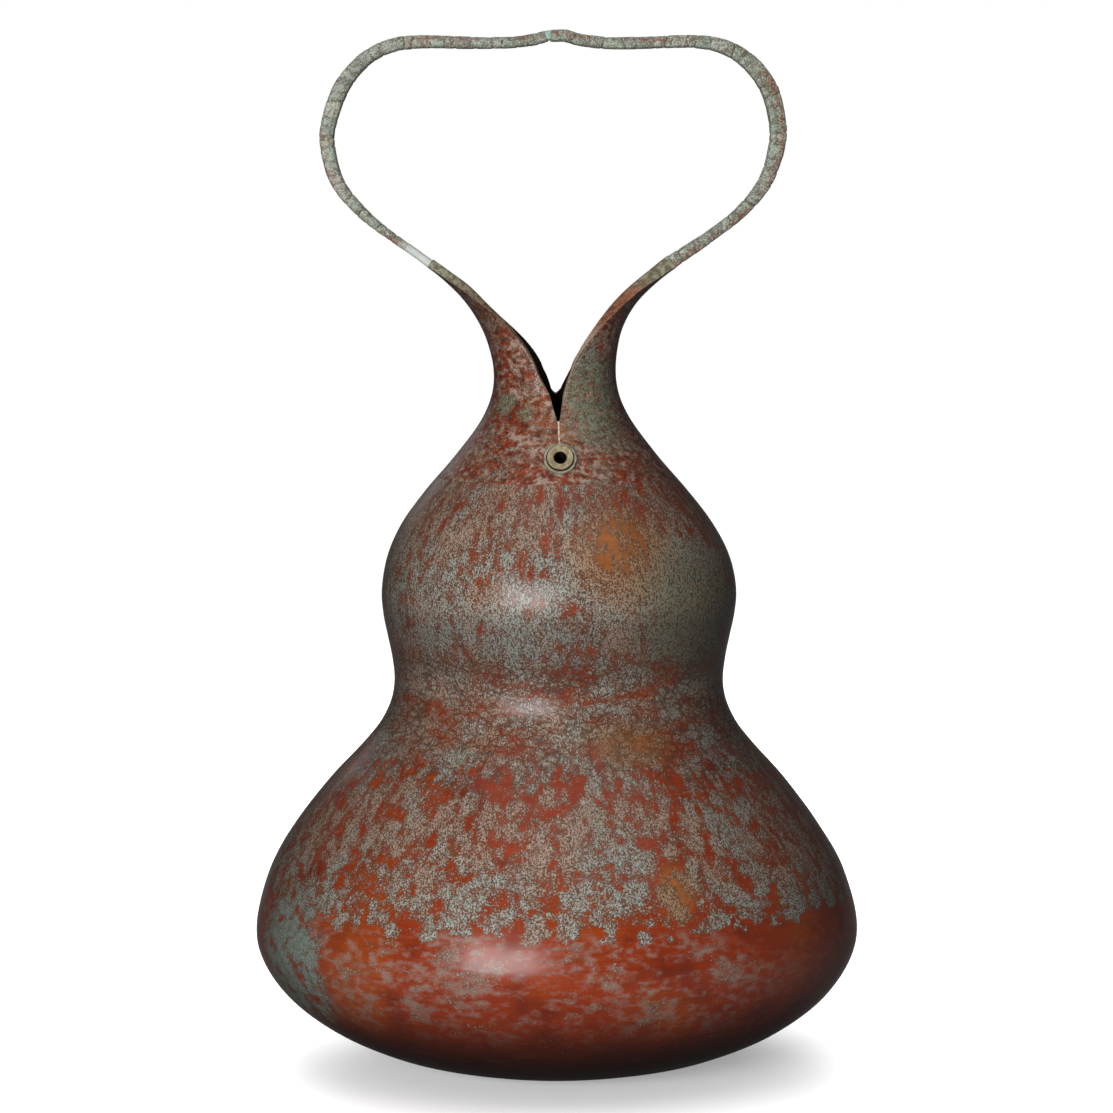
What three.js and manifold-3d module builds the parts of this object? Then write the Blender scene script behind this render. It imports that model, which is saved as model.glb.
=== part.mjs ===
// Gourd-shaped flower vase in patinated bronze: a wide belly and a smaller bulb, a neck that splits
// into two horns, a strap handle looped over them, and an eyelet for a wall nail.
// Millimetres, +Z up. The side with the eyelet faces -Y. The origin is on the table, under the axis.

import * as THREE from "three";
import { mergeVertices } from "three/addons/utils/BufferGeometryUtils.js";
import Module from "manifold-3d";

const wasm = await Module();
wasm.setup();

// Gourd outline: outer radii, and how far each one lies above the one before
const footRadius = 42;
const bellyRadius = 103.8;
const bellyRise = 46.5;
const waistRadius = 56.6;
const waistRise = 85;
const bulbRadius = 60.9;
const bulbRise = 30.5;
const neckRadius = 20.9;
const neckRise = 76;

// Handle outline: the outer edge of the horns and of the looped strap
const handleHalfWidth = 79.4;
const handleWidestRise = 81;
const handleTopRise = 34;

const waistHeight = bellyRise + waistRise;
const bulbHeight = waistHeight + bulbRise;
const neckHeight = bulbHeight + neckRise;
const handleWidestHeight = neckHeight + handleWidestRise;
const handleTopHeight = handleWidestHeight + handleTopRise;

// Sideways sway of the hand-bent horns and loop, at equal steps from the neck's root to the top
const handleSway = 1.6;
const swayShares = [0, -0.1, -0.4, -1.1, -0.95, -1.1, -0.8, -0.25, 0];

// Outline between two stations: share of the rise, share of the change in radius
const footToBellyShares = [[0.04, 0.13], [0.115, 0.33], [0.285, 0.605], [0.54, 0.85], [0.8, 0.974]];
const bellyToWaistShares = [
  [0.22, 0.097], [0.41, 0.29], [0.6, 0.547], [0.74, 0.78], [0.83, 0.908], [0.92, 0.98],
];
const waistToBulbShares = [[0.25, 0.17], [0.5, 0.51], [0.75, 0.86]];
const bulbToNeckShares = [
  [0.15, 0.05], [0.3, 0.185], [0.46, 0.41], [0.62, 0.673], [0.78, 0.893], [0.89, 0.98],
];
const neckToWidestShares = [
  [0.121, 0.03], [0.205, 0.078], [0.289, 0.156], [0.373, 0.273], [0.457, 0.427],
  [0.541, 0.593], [0.625, 0.747], [0.709, 0.863], [0.793, 0.94], [0.919, 0.992],
];
const widestToTopShares = [
  [0.3, 0.026], [0.5, 0.063], [0.697, 0.132], [0.838, 0.213], [0.918, 0.303], [0.943, 0.39],
  [0.943, 0.484], [0.929, 0.64], [0.926, 0.77], [0.941, 0.85], [0.965, 0.91], [1, 0.96],
];

// Sheet thickness of the two bulbs and of the neck
const bodyWall = 1.5;
const neckWall = 1.7;

// Clearance between pieces that fit into each other
const seatGap = 0.3;

// Lapped joints at the waist and at the root of the neck
const lapLength = 5;
const spigotWall = 1.2;
const neckJointShare = 0.513;

// Foot ring and the plate let into it
const footRingWidth = 4;
const plateRecess = 0.6;
const plateThickness = 1.4;
const ledgeWidth = 3;
const ledgeThickness = 1.2;

// Notches that split the neck: where each one bottoms out on the way from bulb to neck
const frontNotchShare = 0.763;
const backNotchShare = 0.882;
const frontNotchCurve = 0.7;
const backNotchRoundShare = 0.03;
const seamTurnDegrees = 2;

// Horns: stations from the back notch to the tip, at equal steps along the outline
const hornTipShare = 0.426;
const hornTipDegrees = 14;
const frontOpeningShares = [0.092, 0.21, 0.35, 0.49, 0.576, 0.684, 0.776, 0.92, 1];
const leftBackOpeningShares = [0.045, 0.11, 0.25, 0.415, 0.54, 0.684, 0.776, 0.92, 1];
const rightBackOpeningShares = [0.045, 0.17, 0.33, 0.49, 0.576, 0.684, 0.776, 0.92, 1];
const hornCurlShares = [0, 0, 0, 0.02, 0.4, 0.81, 1.15, 1.15, 1];
const leftHornWallShares = [0, 0, 0, 0.15, 0.25, 0.8, 1, 1, 1];
const rightHornWallShares = [0, 0, 0.15, 0.48, 0.7, 0.74, 0.75, 0.88, 1];

// Straps: depth from front to back, thickness at the horn and along the way to the top
const strapDepth = 6.8;
const strapCorner = 1.1;
const leftStrapStart = 3;
const rightStrapStart = 4.8;
const strapThickness = 5;
const leftStrapShares = [0.62, 0.82, 0.98, 1.04, 1.1, 0.96, 0.92, 0.86, 0.78, 0.82];
const rightStrapShares = [0.82, 0.88, 1.06, 1.18, 1.2, 1.06, 0.86, 0.84, 0.82, 0.84];

// Brazed filling where the two straps meet
const topJointWidth = 2.4;
const topJointShift = 3;
const topJointRecess = 0.3;

// Nail eyelet: a flanged tube through a washer
const eyeletShare = 0.613;
const eyeletDropDegrees = 12;
const washerRadius = 5.5;
const washerThickness = 0.7;
const flangeRadius = 4.45;
const flangeThickness = 0.8;
const flangeDish = 0.35;
const nailHoleRadius = 2.1;
const tubeWall = 0.8;
const tubeReach = 5;

// Counts of facets
const TURN_STEPS = 56;
const NECK_COLUMNS = 16;
const ROUND_STEPS = 32;
const BELLY_STEPS = 16;
const BELLY_INNER_STEPS = 11;
const BULB_STEPS = 10;
const BULB_INNER_STEPS = 8;
const NECK_STEPS = 5;
const SEAM_STEPS = 3;
const NOTCH_STEPS = 2;
const HORN_STEPS = 11;
const STRAP_STEPS = 32;
const JOINT_STEPS = 2;
const WASHER_STEPS = 16;
const OUTLINE_SAMPLES = 4000;
const HALVINGS = 32;

const degrees = THREE.MathUtils.degToRad;
const lerp = THREE.MathUtils.lerp;

// Outline of the right half up to the top of the handle, mirrored down the left half.
// Each point is (distance from the axis, 0, height).
function between(low, high, shares) {
  return shares.map(([rise, change]) => new THREE.Vector3(
    lerp(low.x, high.x, change), 0, lerp(low.z, high.z, rise)));
}

function makeOutline() {
  const foot = new THREE.Vector3(footRadius, 0, 0);
  const belly = new THREE.Vector3(bellyRadius, 0, bellyRise);
  const waist = new THREE.Vector3(waistRadius, 0, waistHeight);
  const bulb = new THREE.Vector3(bulbRadius, 0, bulbHeight);
  const neck = new THREE.Vector3(neckRadius, 0, neckHeight);
  const widest = new THREE.Vector3(handleHalfWidth, 0, handleWidestHeight);
  const top = new THREE.Vector3(0, 0, handleTopHeight);
  const right = [
    foot, ...between(foot, belly, footToBellyShares),
    belly, ...between(belly, waist, bellyToWaistShares),
    waist, ...between(waist, bulb, waistToBulbShares),
    bulb, ...between(bulb, neck, bulbToNeckShares),
    neck, ...between(neck, widest, neckToWidestShares),
    widest, ...between(widest, top, widestToTopShares),
  ];
  const left = right.map((point) => new THREE.Vector3(-point.x, 0, point.z)).reverse();
  const curve = new THREE.CatmullRomCurve3([...right, top, ...left], false, "centripetal");
  curve.arcLengthDivisions = OUTLINE_SAMPLES;
  return curve;
}

const outline = makeOutline();
const outlineLength = outline.getLength();

// A place on the outline, with the unit normal that points into the vase or into the loop
function spot(length) {
  const point = outline.getPointAt(length / outlineLength);
  const tangent = outline.getTangentAt(length / outlineLength);
  return { x: point.x, z: point.z, inX: -tangent.z, inZ: tangent.x };
}

// Length along the outline at which a measure of the spot first passes a value
function firstLength(passed, from) {
  const step = outlineLength / OUTLINE_SAMPLES;
  let length = from;
  while (length + step < outlineLength && !passed(spot(length + step))) length += step;
  let low = length;
  let high = length + step;
  for (let i = 0; i < HALVINGS; i += 1) {
    const middle = (low + high) / 2;
    if (passed(spot(middle))) high = middle;
    else low = middle;
  }
  return (low + high) / 2;
}

function lengthAtHeight(height) {
  return firstLength((place) => place.z >= height, 0);
}

const neckRootHeight = lerp(bulbHeight, neckHeight, neckJointShare);
const waistLength = lengthAtHeight(waistHeight);
const neckJointLength = lengthAtHeight(neckRootHeight);
const frontNotchLength = lengthAtHeight(lerp(bulbHeight, neckHeight, frontNotchShare));
const backNotchLength = lengthAtHeight(lerp(bulbHeight, neckHeight, backNotchShare));
const hornTipLength = lengthAtHeight(lerp(neckHeight, handleWidestHeight, hornTipShare));
const widestLength = firstLength((place) => place.z >= handleWidestHeight, hornTipLength);

// Point of a profile, set in from the outline by a depth
function inset(length, depth) {
  const place = spot(length);
  return new THREE.Vector2(place.x + depth * place.inX, place.z + depth * place.inZ);
}

function insetRun(from, to, depth, steps) {
  const run = [];
  for (let i = 0; i <= steps; i += 1) run.push(inset(lerp(from, to, i / steps), depth));
  return run;
}

// Solid of revolution about Z from a profile of (radius, height) points
function turned(profile, steps = TURN_STEPS) {
  const closed = profile[0].x > 0 ? [...profile, profile[0]] : profile;
  const geometry = new THREE.LatheGeometry(closed, steps);
  geometry.rotateX(Math.PI / 2);
  return geometry;
}

// Closed mesh to manifold solid and back
function toSolid(geometry) {
  const bare = geometry.clone();
  bare.deleteAttribute("normal");
  bare.deleteAttribute("uv");
  const merged = mergeVertices(bare);
  return new wasm.Manifold(new wasm.Mesh({
    numProp: 3,
    vertProperties: new Float32Array(merged.attributes.position.array),
    triVerts: new Uint32Array(merged.index.array),
  }));
}

function toGeometry(solid) {
  const mesh = solid.getMesh();
  const geometry = new THREE.BufferGeometry();
  geometry.setAttribute("position", new THREE.BufferAttribute(new Float32Array(mesh.vertProperties), 3));
  geometry.setIndex(new THREE.BufferAttribute(new Uint32Array(mesh.triVerts), 1));
  geometry.computeVertexNormals();
  return geometry;
}

// Base plate let into the foot ring
const rebateRadius = footRadius - footRingWidth;
const ledgeBottom = plateRecess + plateThickness + seatGap;
const ledgeTop = ledgeBottom + ledgeThickness;

function basePlate() {
  const radius = rebateRadius - seatGap;
  const top = plateRecess + plateThickness;
  return turned([
    new THREE.Vector2(0, plateRecess),
    new THREE.Vector2(radius, plateRecess),
    new THREE.Vector2(radius, top),
    new THREE.Vector2(0, top),
  ]);
}

// Belly: foot ring with its ledge, then the wall up to the waist joint
function bellyShell() {
  const top = waistLength - seatGap;
  const floor = firstLength((place) => place.z + bodyWall * place.inZ >= ledgeTop, 0);
  return turned([
    ...insetRun(0, top, 0, BELLY_STEPS),
    ...insetRun(top, floor, bodyWall, BELLY_INNER_STEPS),
    new THREE.Vector2(rebateRadius - ledgeWidth, ledgeTop),
    new THREE.Vector2(rebateRadius - ledgeWidth, ledgeBottom),
    new THREE.Vector2(rebateRadius, ledgeBottom),
    new THREE.Vector2(rebateRadius, 0),
  ]);
}

// Depths of the spigot that laps into the piece below
function spigotDepths(wallBelow) {
  const outer = wallBelow + seatGap;
  return { outer, inner: outer + spigotWall };
}

// Bulb: spigot into the belly, then the wall up to the root of the neck
function bulbShell() {
  const top = neckJointLength - seatGap;
  const spigot = spigotDepths(bodyWall);
  return turned([
    ...insetRun(waistLength, top, 0, BULB_STEPS),
    ...insetRun(top, waistLength + lapLength, bodyWall, BULB_INNER_STEPS),
    ...insetRun(waistLength, waistLength - lapLength, spigot.inner, 1),
    ...insetRun(waistLength - lapLength, waistLength, spigot.outer, 1),
  ]);
}

// A value of a table of equally spaced shares, part of the way along it
function along(shares, part) {
  const points = shares.map((share, station) => new THREE.Vector2(station, share));
  return new THREE.SplineCurve(points).getPoint(THREE.MathUtils.clamp(part, 0, 1)).y;
}

function sway(height) {
  return handleSway * along(swayShares, (height - neckRootHeight) / (handleTopHeight - neckRootHeight));
}

// Section of the neck or of a horn: an arc that starts at the outline and runs round to its front
// and back edges. Below the notches both halves close to a ring.
function neckSection(length, side) {
  const place = spot(length);
  const climb = (length - backNotchLength) / (hornTipLength - backNotchLength);
  const opened = (length - frontNotchLength) / (backNotchLength - frontNotchLength);
  let front = 0;
  if (climb > 0) front = along(frontOpeningShares, climb);
  else if (opened > 0) front = frontOpeningShares[0] * opened ** frontNotchCurve;
  const rounding = Math.min(1, Math.sqrt(Math.max(0, climb) / backNotchRoundShare));
  const back = rounding * along(side < 0 ? leftBackOpeningShares : rightBackOpeningShares, climb);
  const seam = degrees(seamTurnDegrees) * Math.max(0, 1 - front / frontOpeningShares[1]);
  const tip = degrees(hornTipDegrees);
  const below = place.z < neckHeight;
  const tipCurl = strapDepth / 2 / Math.sin(tip);
  const tipWall = side < 0 ? leftStrapStart : rightStrapStart;
  const wallShares = side < 0 ? leftHornWallShares : rightHornWallShares;
  return {
    place,
    inX: below ? -1 : place.inX,
    inZ: below ? 0 : place.inZ,
    curl: lerp(below ? place.x : neckRadius, tipCurl, along(hornCurlShares, climb)),
    wall: lerp(neckWall, tipWall, along(wallShares, climb)),
    front: lerp(Math.PI / 2, tip, front) - side * seam,
    back: lerp(Math.PI / 2, tip, back),
    frontOpen: front > 0,
    backOpen: back > 0,
  };
}

// One row of points across a half of the neck, at a depth inside the outer face
function neckRow(length, side, depthOf) {
  const section = neckSection(length, side);
  const { place, inX, inZ, curl } = section;
  const depth = depthOf(section);
  const crownX = place.x + depth * place.inX;
  const crownZ = place.z + depth * place.inZ;
  const radius = curl - depth * (place.inX * inX + place.inZ * inZ);
  const points = [];
  for (let column = 0; column <= NECK_COLUMNS; column += 1) {
    const angle = lerp(-section.front, section.back, column / NECK_COLUMNS);
    const sag = radius * (1 - Math.cos(angle));
    points.push(new THREE.Vector3(
      side * (crownX + sag * inX) + sway(place.z), radius * Math.sin(angle), crownZ + sag * inZ));
  }
  return { points, frontOpen: section.frontOpen, backOpen: section.backOpen };
}

// Neck and horns as one sheet: rows run up the outer face, down the inner face and round the spigot
function neckSheet() {
  const spigot = spigotDepths(bodyWall);
  const outer = () => 0;
  const inner = (section) => section.wall;
  const lengths = [];
  const rounded = lerp(backNotchLength, hornTipLength, backNotchRoundShare);
  const runs = [
    [neckJointLength, frontNotchLength, NECK_STEPS],
    [frontNotchLength, backNotchLength, SEAM_STEPS],
    [backNotchLength, rounded, NOTCH_STEPS],
    [rounded, hornTipLength, HORN_STEPS],
  ];
  for (const [from, to, steps] of runs)
    for (let i = 0; i < steps; i += 1) lengths.push(lerp(from, to, i / steps));
  lengths.push(hornTipLength);
  const above = lengths.filter((length) => length > neckJointLength + lapLength);
  const stations = [
    ...lengths.map((length) => [length, outer]),
    ...above.map((length) => [length, inner]).reverse(),
    [neckJointLength, () => spigot.inner],
    [neckJointLength - lapLength, () => spigot.inner],
    [neckJointLength - lapLength, () => spigot.outer],
    [neckJointLength, () => spigot.outer],
  ];

  const positions = [];
  const rows = stations.map(([length, depthOf]) => {
    const right = neckRow(length, 1, depthOf);
    const left = neckRow(length, -1, depthOf);
    const first = positions.length;
    positions.push(...right.points, ...left.points);
    const rightIds = right.points.map((_, column) => first + column);
    const leftIds = left.points.map((_, column) => first + NECK_COLUMNS + 1 + column);
    if (!right.frontOpen) leftIds[0] = rightIds[0];
    if (!right.backOpen) leftIds[NECK_COLUMNS] = rightIds[NECK_COLUMNS];
    return { length, rightIds, leftIds, frontOpen: right.frontOpen, backOpen: right.backOpen };
  });

  const triangles = [];
  function quad(a, b, c, d, flip) {
    if (flip) triangles.push([a, c, b], [a, d, c]);
    else triangles.push([a, b, c], [a, c, d]);
  }
  rows.forEach((row, index) => {
    const next = rows[(index + 1) % rows.length];
    for (let column = 0; column < NECK_COLUMNS; column += 1) {
      quad(row.rightIds[column], row.rightIds[column + 1],
        next.rightIds[column + 1], next.rightIds[column], false);
      quad(row.leftIds[column], row.leftIds[column + 1],
        next.leftIds[column + 1], next.leftIds[column], true);
    }
  });

  // Cut edges of the notches, between the outer row and the inner row of each station
  const outerRows = rows.slice(0, lengths.length);
  for (let i = 0; i + 1 < outerRows.length; i += 1) {
    const low = outerRows[i];
    const high = outerRows[i + 1];
    const lowInner = rows.slice(lengths.length).find((row) => row.length === low.length);
    const highInner = rows.slice(lengths.length).find((row) => row.length === high.length);
    if (high.frontOpen) {
      quad(low.rightIds[0], high.rightIds[0], highInner.rightIds[0], lowInner.rightIds[0], false);
      quad(low.leftIds[0], high.leftIds[0], highInner.leftIds[0], lowInner.leftIds[0], true);
    }
    if (high.backOpen) {
      const end = NECK_COLUMNS;
      quad(low.rightIds[end], high.rightIds[end],
        highInner.rightIds[end], lowInner.rightIds[end], true);
      quad(low.leftIds[end], high.leftIds[end],
        highInner.leftIds[end], lowInner.leftIds[end], false);
    }
  }

  const geometry = new THREE.BufferGeometry().setFromPoints(positions);
  geometry.setIndex(triangles.filter(([a, b, c]) => a !== b && b !== c && a !== c).flat());
  return geometry;
}

// Eyelet frame: its own +Y is the nail's way out of the vase, at a spot on the front of the neck
const eyeletLength = lengthAtHeight(lerp(bulbHeight, neckHeight, eyeletShare));
const eyeletPlace = spot(eyeletLength);
const eyeletLift =
  Math.atan2(-eyeletPlace.inZ, -eyeletPlace.inX) - degrees(eyeletDropDegrees);

function eyeletFrame() {
  const seam = degrees(seamTurnDegrees);
  const outward = new THREE.Vector3(Math.sin(seam), -Math.cos(seam), 0);
  const axis = outward.clone().multiplyScalar(Math.cos(eyeletLift));
  axis.z = Math.sin(eyeletLift);
  const frame = new THREE.Matrix4().makeRotationFromQuaternion(
    new THREE.Quaternion().setFromUnitVectors(new THREE.Vector3(0, 1, 0), axis));
  frame.setPosition(outward.x * eyeletPlace.x, outward.y * eyeletPlace.x, eyeletPlace.z);
  return frame;
}

// How far the neck bulges out along the eyelet's axis under the washer
function neckBulge() {
  const lift = new THREE.Vector2(Math.cos(eyeletLift), Math.sin(eyeletLift));
  const centre = inset(eyeletLength, 0);
  const reach = washerRadius / Math.cos(degrees(eyeletDropDegrees));
  const run = insetRun(eyeletLength - reach, eyeletLength + reach, 0, WASHER_STEPS);
  return Math.max(...run.map((point) => point.sub(centre).dot(lift)));
}

const eyelet = eyeletFrame();
const tubeRadius = nailHoleRadius + tubeWall;
const washerFront = washerThickness + neckBulge();

function eyeletTurned(profile) {
  const closed = [...profile, profile[0]];
  return new THREE.LatheGeometry(closed, ROUND_STEPS).applyMatrix4(eyelet);
}

// Ring of a rectangular section about the eyelet's axis
function eyeletRing(innerRadius, outerRadius, low, high) {
  return eyeletTurned([
    new THREE.Vector2(innerRadius, low),
    new THREE.Vector2(outerRadius, low),
    new THREE.Vector2(outerRadius, high),
    new THREE.Vector2(innerRadius, high),
  ]);
}

function neckWithHorns() {
  const drill = new THREE.CylinderGeometry(
    tubeRadius + seatGap, tubeRadius + seatGap, 2 * (washerFront + tubeReach), ROUND_STEPS);
  drill.applyMatrix4(eyelet);
  return toGeometry(toSolid(neckSheet()).subtract(toSolid(drill)));
}

// Washer: its back follows the sloping neck, so its face can turn down towards the nail
function eyeletWasher() {
  const ring = eyeletRing(tubeRadius + seatGap, washerRadius, -tubeReach, washerFront);
  const from = neckJointLength - lapLength;
  const profile = insetRun(from, backNotchLength, -seatGap, WASHER_STEPS);
  const neckSpace = turned([
    new THREE.Vector2(0, profile[0].y),
    ...profile,
    new THREE.Vector2(0, profile[profile.length - 1].y),
  ], 2 * TURN_STEPS);
  return toGeometry(toSolid(ring).subtract(toSolid(neckSpace)));
}

function eyeletTube() {
  const flangeBack = washerFront + seatGap;
  const flangeFront = flangeBack + flangeThickness;
  return eyeletTurned([
    new THREE.Vector2(nailHoleRadius, -tubeReach),
    new THREE.Vector2(tubeRadius, -tubeReach),
    new THREE.Vector2(tubeRadius, flangeBack),
    new THREE.Vector2(flangeRadius, flangeBack),
    new THREE.Vector2(flangeRadius, flangeFront),
    new THREE.Vector2(nailHoleRadius, flangeFront - flangeDish),
  ]);
}

// Bar swept along the outline: its outer face lies on the outline, sunk by a recess
function sweptBar(from, to, side, steps, thicknessAt, recess) {
  const half = strapDepth / 2 - recess;
  const sections = [];
  for (let i = 0; i <= steps; i += 1) {
    const place = spot(lerp(from, to, i / steps));
    const thickness = thicknessAt(i / steps) - recess;
    const corner = strapCorner;
    const corners = [
      [recess + corner, -half + corner, Math.PI], [recess + corner, half - corner, Math.PI / 2],
      [thickness - corner, half - corner, 0], [thickness - corner, -half + corner, -Math.PI / 2],
    ];
    const points = [];
    for (const [depth, across, start] of corners) {
      for (const turn of [Math.PI / 2, Math.PI / 4, 0]) {
        const angle = start + turn;
        const inward = depth + corner * Math.cos(angle);
        points.push(new THREE.Vector3(
          side * (place.x + inward * place.inX) + sway(place.z),
          across + corner * Math.sin(angle),
          place.z + inward * place.inZ));
      }
    }
    sections.push(points);
  }
  return loft(sections, side);
}

// Closed solid through sections with equally many points, its ends closed by fans
function loft(sections, side) {
  const count = sections[0].length;
  const index = [];
  function add(a, b, c) {
    if (side < 0) index.push(a, b, c);
    else index.push(a, c, b);
  }
  for (let row = 0; row + 1 < sections.length; row += 1) {
    for (let i = 0; i < count; i += 1) {
      const a = row * count + i;
      const b = row * count + ((i + 1) % count);
      add(a, a + count, b);
      add(b, a + count, b + count);
    }
  }
  const last = (sections.length - 1) * count;
  for (let i = 1; i + 1 < count; i += 1) {
    add(0, i, i + 1);
    add(last, last + i + 1, last + i);
  }
  const geometry = new THREE.BufferGeometry().setFromPoints(sections.flat());
  geometry.setIndex(index);
  return geometry;
}

// Straps: each runs from its horn to the filling at the top, which sits off the middle
function topLength(x) {
  return firstLength((place) => place.x <= x, widestLength);
}

function strap(side, start, shares) {
  const end = topLength(-side * topJointShift + topJointWidth / 2 + seatGap);
  const widths = [start, ...shares.map((share) => share * strapThickness)];
  return sweptBar(
    hornTipLength + seatGap, end, side, STRAP_STEPS, (share) => along(widths, share), 0);
}

function handleTopJoint() {
  const from = topLength(-topJointShift + topJointWidth / 2);
  const to = topLength(-topJointShift - topJointWidth / 2);
  const share = leftStrapShares[leftStrapShares.length - 1];
  return sweptBar(from, to, 1, JOINT_STEPS, () => share * strapThickness, topJointRecess);
}

// Assembly
const vase = new THREE.Group();

function addPiece(name, geometry, colour, roughness, metalness) {
  const material = new THREE.MeshStandardMaterial({ color: colour, roughness, metalness });
  const mesh = new THREE.Mesh(geometry, material);
  mesh.name = name;
  vase.add(mesh);
}

addPiece("base_plate", basePlate(), 0x4a3326, 0.7, 0.6);
addPiece("belly_shell", bellyShell(), 0x8a5a42, 0.55, 0.6);
addPiece("bulb_shell", bulbShell(), 0x7d7565, 0.6, 0.5);
addPiece("neck_with_horns", neckWithHorns(), 0x84553f, 0.6, 0.5);
addPiece("left_strap", strap(-1, leftStrapStart, leftStrapShares), 0x8c9488, 0.7, 0.4);
addPiece("right_strap", strap(1, rightStrapStart, rightStrapShares), 0x83897a, 0.7, 0.4);
addPiece("handle_top_joint", handleTopJoint(), 0x7fa396, 0.7, 0.3);
addPiece("eyelet_washer", eyeletWasher(), 0x8b8e7c, 0.6, 0.5);
addPiece("eyelet_tube", eyeletTube(), 0x9c957c, 0.55, 0.6);

export default vase;
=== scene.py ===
import math
import random

import bpy
import numpy as np
from mathutils import Matrix, Vector, noise


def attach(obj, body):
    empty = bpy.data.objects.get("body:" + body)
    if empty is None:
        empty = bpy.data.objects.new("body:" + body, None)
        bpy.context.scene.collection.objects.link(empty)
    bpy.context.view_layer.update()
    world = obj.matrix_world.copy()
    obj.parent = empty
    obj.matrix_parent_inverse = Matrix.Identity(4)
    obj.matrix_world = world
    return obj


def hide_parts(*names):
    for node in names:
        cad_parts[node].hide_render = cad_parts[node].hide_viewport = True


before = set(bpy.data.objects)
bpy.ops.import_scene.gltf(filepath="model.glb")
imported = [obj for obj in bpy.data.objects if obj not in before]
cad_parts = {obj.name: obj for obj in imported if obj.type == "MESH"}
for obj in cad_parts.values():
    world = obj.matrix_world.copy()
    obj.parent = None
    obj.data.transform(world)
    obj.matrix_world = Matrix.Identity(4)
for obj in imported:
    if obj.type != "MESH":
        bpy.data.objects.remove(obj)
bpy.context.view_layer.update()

MM = 0.001
SEED = 11

# Gourd and handle outline, as in the part's source: radii and heights in millimetres
FOOT, BELLY, WAIST, BULB, NECK, WIDEST, TOP = (
    (42, 0), (103.8, 46.5), (56.6, 131.5), (60.9, 162), (20.9, 238), (79.4, 319), (0, 353))
FOOT_TO_BELLY = ((0.04, 0.13), (0.115, 0.33), (0.285, 0.605), (0.54, 0.85), (0.8, 0.974))
BELLY_TO_WAIST = (
    (0.22, 0.097), (0.41, 0.29), (0.6, 0.547), (0.74, 0.78), (0.83, 0.908), (0.92, 0.98))
WAIST_TO_BULB = ((0.25, 0.17), (0.5, 0.51), (0.75, 0.86))
BULB_TO_NECK = (
    (0.15, 0.05), (0.3, 0.185), (0.46, 0.41), (0.62, 0.673), (0.78, 0.893), (0.89, 0.98))
NECK_TO_WIDEST = (
    (0.121, 0.03), (0.205, 0.078), (0.289, 0.156), (0.373, 0.273), (0.457, 0.427),
    (0.541, 0.593), (0.625, 0.747), (0.709, 0.863), (0.793, 0.94), (0.919, 0.992))
WIDEST_TO_TOP = (
    (0.3, 0.026), (0.5, 0.063), (0.697, 0.132), (0.838, 0.213), (0.918, 0.303), (0.943, 0.39),
    (0.943, 0.484), (0.929, 0.64), (0.926, 0.77), (0.941, 0.85), (0.965, 0.91), (1, 0.96))
SWAY = 1.6 * MM
SWAY_SHARES = (0, -0.1, -0.4, -1.1, -0.95, -1.1, -0.8, -0.25, 0)
BODY_WALL, NECK_WALL, SPIGOT_WALL, SEAT_GAP, LAP = 1.5 * MM, 1.7 * MM, 1.2 * MM, 0.3 * MM, 5 * MM
STRAP_DEPTH = 6.8 * MM
STRAP_CORNER = 1.1 * MM
TIP_ANGLE = math.radians(14)
NOTCH_CURVE = 0.03
SEAM_TURN = math.radians(2)
FRONT_OPENING = {
    -1: (0.075, 0.185, 0.305, 0.43, 0.54, 0.665, 0.77, 0.92, 1),
    1: (0.075, 0.17, 0.305, 0.475, 0.6, 0.7, 0.786, 0.92, 1)}
BACK_OPENING = {
    -1: (0.045, 0.12, 0.27, 0.45, 0.595, 0.71, 0.786, 0.92, 1),
    1: (0.045, 0.17, 0.34, 0.52, 0.64, 0.72, 0.786, 0.92, 1)}
HORN_CURL = (0, 0, 0, 0.02, 0.4, 0.81, 1.15, 1.15, 1)
HORN_WALL = {
    -1: (0, 0, 0, 0.15, 0.25, 0.8, 1, 1, 1),
    1: (0, 0, 0.15, 0.48, 0.7, 0.74, 0.75, 0.88, 1)}
STRAP_START = {-1: 3 * MM, 1: 4.8 * MM}
STRAP_THICKNESS = {
    -1: (3, 3.1, 4.1, 4.9, 5.2, 5.5, 4.8, 4.6, 4.3, 3.9, 4.1),
    1: (4.8, 4.1, 4.4, 5.3, 5.9, 6, 5.3, 4.3, 4.2, 4.1, 4.2)}
SHORTEST_MARK, LONGEST_MARK = 2.8 * MM, 6.6 * MM
TOP_JOINT_SHIFT, TOP_JOINT_WIDTH = 3 * MM, 2.4 * MM
FILLING_THICKNESS, FILLING_RECESS = 3.5 * MM, 0.3 * MM
EDGE_BEVEL = 0.22 * MM

# Foot ring, the ledge inside it and the plate under the ledge
FOOT_INSIDE, LEDGE_INSIDE, LEDGE_BOTTOM, LEDGE_TOP = 38 * MM, 35 * MM, 2.3 * MM, 3.5 * MM
FLOOR_HEIGHT = 5.2 * MM
PLATE_RADIUS, PLATE_FLAT, PLATE_SHOULDER = 37.7 * MM, 37.2 * MM, 0.3 * MM
PLATE_BOTTOM, PLATE_TOP = 0.6 * MM, 2 * MM

# Traces of the hand that raised the body: depths, and how often the dents come in a metre
WIDE_DENT, FINE_DENT, LEAN = 0.32 * MM, 0.09 * MM, 0.8 * MM
WIDE_DENT_RATE, FINE_DENT_RATE = 34, 95

# Fineness of the meshes
BODY_STEPS, PLATE_STEPS, EYELET_STEPS, DRILL_STEPS, NECK_COLUMNS = 240, 120, 72, 48, 44


def blend(low, high, share):
    return low + (high - low) * share


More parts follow.
